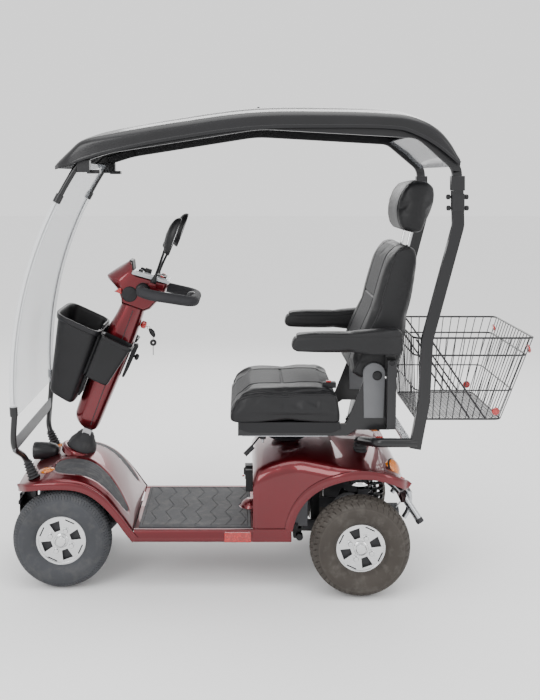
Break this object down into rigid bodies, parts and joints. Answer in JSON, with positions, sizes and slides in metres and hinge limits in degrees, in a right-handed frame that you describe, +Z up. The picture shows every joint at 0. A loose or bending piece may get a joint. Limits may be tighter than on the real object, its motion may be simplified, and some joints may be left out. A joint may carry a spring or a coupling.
{
  "type": "mobility scooter",
  "caption": "Large mobility scooter with a weather canopy, curved windscreen, padded swivel seat, folding backrest, loop handlebar, storage baskets and sprung rear axle.",
  "frame": {"origin": "on the floor, under the middle of the bounding box", "axes": "+X to the back, -X to the front, +Y to the rider's right, +Z up"},
  "size_m": [1.731, 0.68, 1.5969],
  "materials": {
    "red_body": "metallic burgundy, high gloss",
    "black_frame": "satin black powder coat",
    "silver_frame": "satin silver",
    "wheel_alloy": "machined and lacquered",
    "tyre_rubber": "moulded tread",
    "black_rubber": "matt",
    "foam_grip": "closed-cell foam",
    "seat_leather": "soft grained leatherette",
    "black_plastic": "fine grain",
    "silver_console": "silver paint",
    "clear_sheet": "clear polycarbonate",
    "lens_clear": "fluted lens",
    "lens_amber": "faceted amber and red lenses",
    "reflector_red": "prismatic reflector",
    "bare_steel": "machined",
    "motor_black": "cast, painted",
    "battery_case": "moulded case",
    "chrome_trim": "polished"
  },
  "bodies": {
    "chassis": {"chassis_frame": "black_frame", "front_cowl": "red_body", "floor_pan": "red_body", "floor_mat": "black_rubber", "rear_shroud": "red_body", "battery_pack": "battery_case", "front_bumper": "black_plastic", "headlight_housing": "black_plastic", "headlight_lens": "lens_clear", "signal_lenses": "lens_amber", "sill_reflectors": "reflector_red", "rear_bumper": "silver_frame", "seat_post": "bare_steel", "rubber_boots": "black_rubber", "canopy_masts": "black_frame", "canopy_rails": "black_frame", "canopy_roof": "black_plastic", "clamp_knobs": "black_plastic", "clear_screens": "clear_sheet", "windscreen_frame": "black_frame", "rear_basket": "black_frame", "cross_brace": "silver_frame", "shock_absorbers": "chrome_trim", "shock_springs": "black_frame", "charge_socket": "black_plastic"},
    "rear_suspension": {"transaxle": "motor_black", "drive_motor": "motor_black"},
    "left_knuckle": {"left_steering_knuckle": "bare_steel"},
    "right_knuckle": {"right_steering_knuckle": "bare_steel"},
    "tie_rod": {"tie_rod": "bare_steel"},
    "steering_stem": {"steering_column": "bare_steel"},
    "tiller": {"tiller_cover": "red_body", "tiller_head": "red_body", "control_console": "silver_console", "handlebar": "foam_grip", "front_basket": "black_plastic"},
    "left_mirror": {"left_mirror": "black_plastic"},
    "right_mirror": {"right_mirror": "black_plastic"},
    "throttle_lever": {"throttle_lever": "chrome_trim"},
    "brake_lever": {"brake_lever": "black_plastic"},
    "speed_dial": {"speed_dial": "black_plastic"},
    "ignition_key": {"ignition_key": "reflector_red"},
    "spare_key": {"spare_key": "bare_steel"},
    "tilt_lever": {"tilt_lever": "black_plastic"},
    "seat_swivel": {"seat_rail": "silver_frame"},
    "seat": {"seat_frame": "black_frame", "seat_cushion": "seat_leather"},
    "seat_back": {"backrest": "seat_leather"},
    "headrest": {"headrest": "seat_leather"},
    "left_armrest": {"left_armrest": "seat_leather"},
    "right_armrest": {"right_armrest": "seat_leather"},
    "seat_lever": {"seat_lever": "black_plastic"},
    "front_left_wheel": {"front_left_tyre": "tyre_rubber", "front_left_rim": "wheel_alloy"},
    "front_right_wheel": {"front_right_tyre": "tyre_rubber", "front_right_rim": "wheel_alloy"},
    "rear_left_wheel": {"rear_left_tyre": "tyre_rubber", "rear_left_rim": "wheel_alloy"},
    "rear_right_wheel": {"rear_right_tyre": "tyre_rubber", "rear_right_rim": "wheel_alloy"}
  },
  "joints": [
    {"name": "steering", "type": "hinge", "parent": "chassis", "child": "steering_stem", "pos_m": [-0.6345, 0, 0.47], "axis": [0.342, 0, 0.9397], "range_deg": [-30, 30]},
    {"name": "left_knuckle_steer", "type": "hinge", "parent": "chassis", "child": "left_knuckle", "pos_m": [-0.6875, -0.135, 0.165], "axis": [0, 0, 1], "range_deg": [-30, 30]},
    {"name": "right_knuckle_steer", "type": "hinge", "parent": "chassis", "child": "right_knuckle", "pos_m": [-0.6875, 0.135, 0.165], "axis": [0, 0, 1], "range_deg": [-30, 30]},
    {"name": "tie_rod_shift", "type": "slide", "parent": "chassis", "child": "tie_rod", "axis": [0, 1, 0], "range_m": [-0.0305, 0.0305]},
    {"name": "tiller_tilt", "type": "hinge", "parent": "steering_stem", "child": "tiller", "pos_m": [-0.6345, 0, 0.47], "axis": [0, 1, 0], "range_deg": [0, 18]},
    {"name": "left_mirror_turn", "type": "hinge", "parent": "tiller", "child": "left_mirror", "pos_m": [-0.39179, -0.072, 1.00527], "axis": [0.342, 0, 0.9397], "range_deg": [-30, 30]},
    {"name": "right_mirror_turn", "type": "hinge", "parent": "tiller", "child": "right_mirror", "pos_m": [-0.39179, 0.072, 1.00527], "axis": [0.342, 0, 0.9397], "range_deg": [-30, 30]},
    {"name": "throttle", "type": "hinge", "parent": "tiller", "child": "throttle_lever", "pos_m": [-0.36933, -0.069, 0.97049], "axis": [0.342, 0, 0.9397], "range_deg": [0, 12], "stiffness_Nm_per_rad": 0.6, "springref_deg": -5.73},
    {"name": "brake", "type": "hinge", "parent": "tiller", "child": "brake_lever", "pos_m": [-0.36933, 0.069, 0.97049], "axis": [-0.342, 0, -0.9397], "range_deg": [0, 12], "stiffness_Nm_per_rad": 0.6, "springref_deg": -5.73},
    {"name": "speed_setting", "type": "hinge", "parent": "tiller", "child": "speed_dial", "pos_m": [-0.41596, 0, 1.03535], "axis": [0.342, 0, 0.9397], "range_deg": [-135, 135]},
    {"name": "ignition", "type": "hinge", "parent": "tiller", "child": "ignition_key", "pos_m": [-0.43831, 0, 0.85406], "axis": [0.9397, 0, -0.342], "range_deg": [0, 60]},
    {"name": "spare_key_swing", "type": "hinge", "parent": "ignition_key", "child": "spare_key", "pos_m": [-0.41431, 0, 0.84107], "axis": [0, 1, 0], "range_deg": [-20, 25]},
    {"name": "tilt_release", "type": "hinge", "parent": "tiller", "child": "tilt_lever", "pos_m": [-0.45773, 0, 0.78025], "axis": [0, -1, 0], "range_deg": [0, 8], "stiffness_Nm_per_rad": 1, "springref_deg": -5.73},
    {"name": "seat_swivel", "type": "hinge", "parent": "chassis", "child": "seat_swivel", "pos_m": [0.0725, 0, 0.5], "axis": [0, 0, 1], "range_deg": [-5, 5]},
    {"name": "seat_slide", "type": "slide", "parent": "seat_swivel", "child": "seat", "axis": [-1, 0, 0], "range_m": [0, 0.08]},
    {"name": "backrest_fold", "type": "hinge", "parent": "seat", "child": "seat_back", "pos_m": [0.3575, 0, 0.699], "axis": [0, 1, 0], "range_deg": [-55, 2]},
    {"name": "headrest_height", "type": "slide", "parent": "seat_back", "child": "headrest", "axis": [0.2079, 0, 0.9781], "range_m": [-0.01, 0.05]},
    {"name": "left_armrest_lift", "type": "hinge", "parent": "seat", "child": "left_armrest", "pos_m": [0.4005, 0, 0.835], "axis": [0, 1, 0], "range_deg": [0, 90]},
    {"name": "right_armrest_lift", "type": "hinge", "parent": "seat", "child": "right_armrest", "pos_m": [0.4005, 0, 0.835], "axis": [0, 1, 0], "range_deg": [0, 90]},
    {"name": "seat_release", "type": "hinge", "parent": "seat_swivel", "child": "seat_lever", "pos_m": [-0.0165, -0.16, 0.494], "axis": [0, 0, 1], "range_deg": [0, 12], "stiffness_Nm_per_rad": 0.8, "springref_deg": -5.73},
    {"name": "rear_axle_travel", "type": "hinge", "parent": "chassis", "child": "rear_suspension", "pos_m": [0.1095, 0, 0.179], "axis": [0, -1, 0], "range_deg": [0, 4], "stiffness_Nm_per_rad": 3000, "springref_deg": -8.59, "deforming": ["shock_springs"]},
    {"name": "front_left_wheel_spin", "type": "hinge", "parent": "left_knuckle", "child": "front_left_wheel", "pos_m": [-0.6875, -0.205, 0.165], "axis": [0, 1, 0], "continuous": true},
    {"name": "front_right_wheel_spin", "type": "hinge", "parent": "right_knuckle", "child": "front_right_wheel", "pos_m": [-0.6875, 0.205, 0.165], "axis": [0, 1, 0], "continuous": true},
    {"name": "rear_left_wheel_spin", "type": "hinge", "parent": "rear_suspension", "child": "rear_left_wheel", "pos_m": [0.2995, -0.27, 0.165], "axis": [0, 1, 0], "continuous": true},
    {"name": "rear_right_wheel_spin", "type": "hinge", "parent": "rear_suspension", "child": "rear_right_wheel", "pos_m": [0.2995, 0.27, 0.165], "axis": [0, 1, 0], "continuous": true}
  ],
  "couplings": [
    {"joint": "left_knuckle_steer", "follows": "steering", "ratio": 1},
    {"joint": "right_knuckle_steer", "follows": "steering", "ratio": 1},
    {"joint": "tie_rod_shift", "follows": "steering", "m_per_rad": 0.0573}
  ]
}
